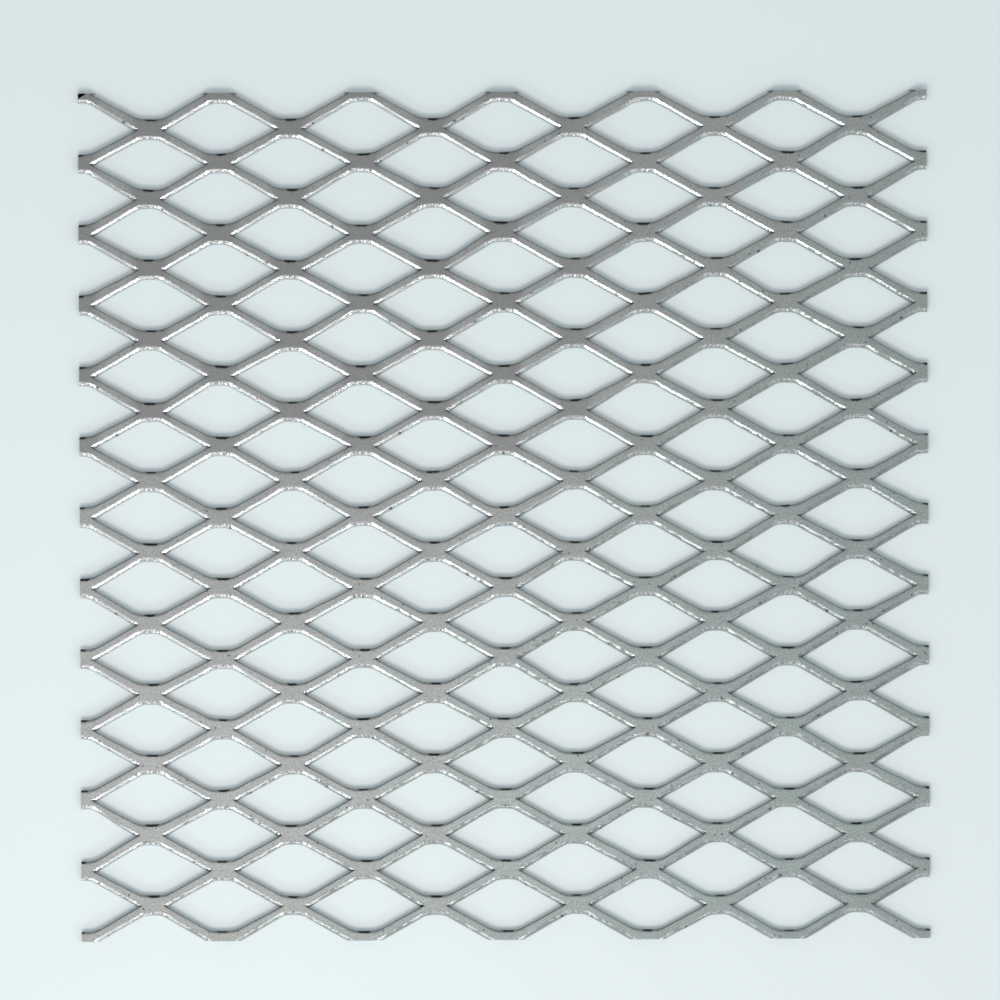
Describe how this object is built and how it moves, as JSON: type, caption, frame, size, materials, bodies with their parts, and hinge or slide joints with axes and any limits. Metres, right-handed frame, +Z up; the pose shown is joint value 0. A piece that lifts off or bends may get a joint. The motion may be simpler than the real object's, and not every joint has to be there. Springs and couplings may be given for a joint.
{
  "type": "expanded metal sheet",
  "caption": "Flat square sheet of flattened expanded steel mesh with diamond openings and leaning sheared walls, for guards, screens, vents and infill panels.",
  "frame": {"origin": "middle of the sheet's underside, below the centre of its middle knuckle", "axes": "+Z up through the sheet's thickness, +X the long way of the diamonds, +Y the short way, towards which the sheared walls lean as they rise"},
  "size_m": [0.3048, 0.3048, 0.002],
  "materials": {
    "steel": "plain mill finish, matte grey on the rolled faces and bright on the sheared walls"
  },
  "bodies": {
    "root": {"expanded_sheet": "steel"}
  },
  "joints": []
}
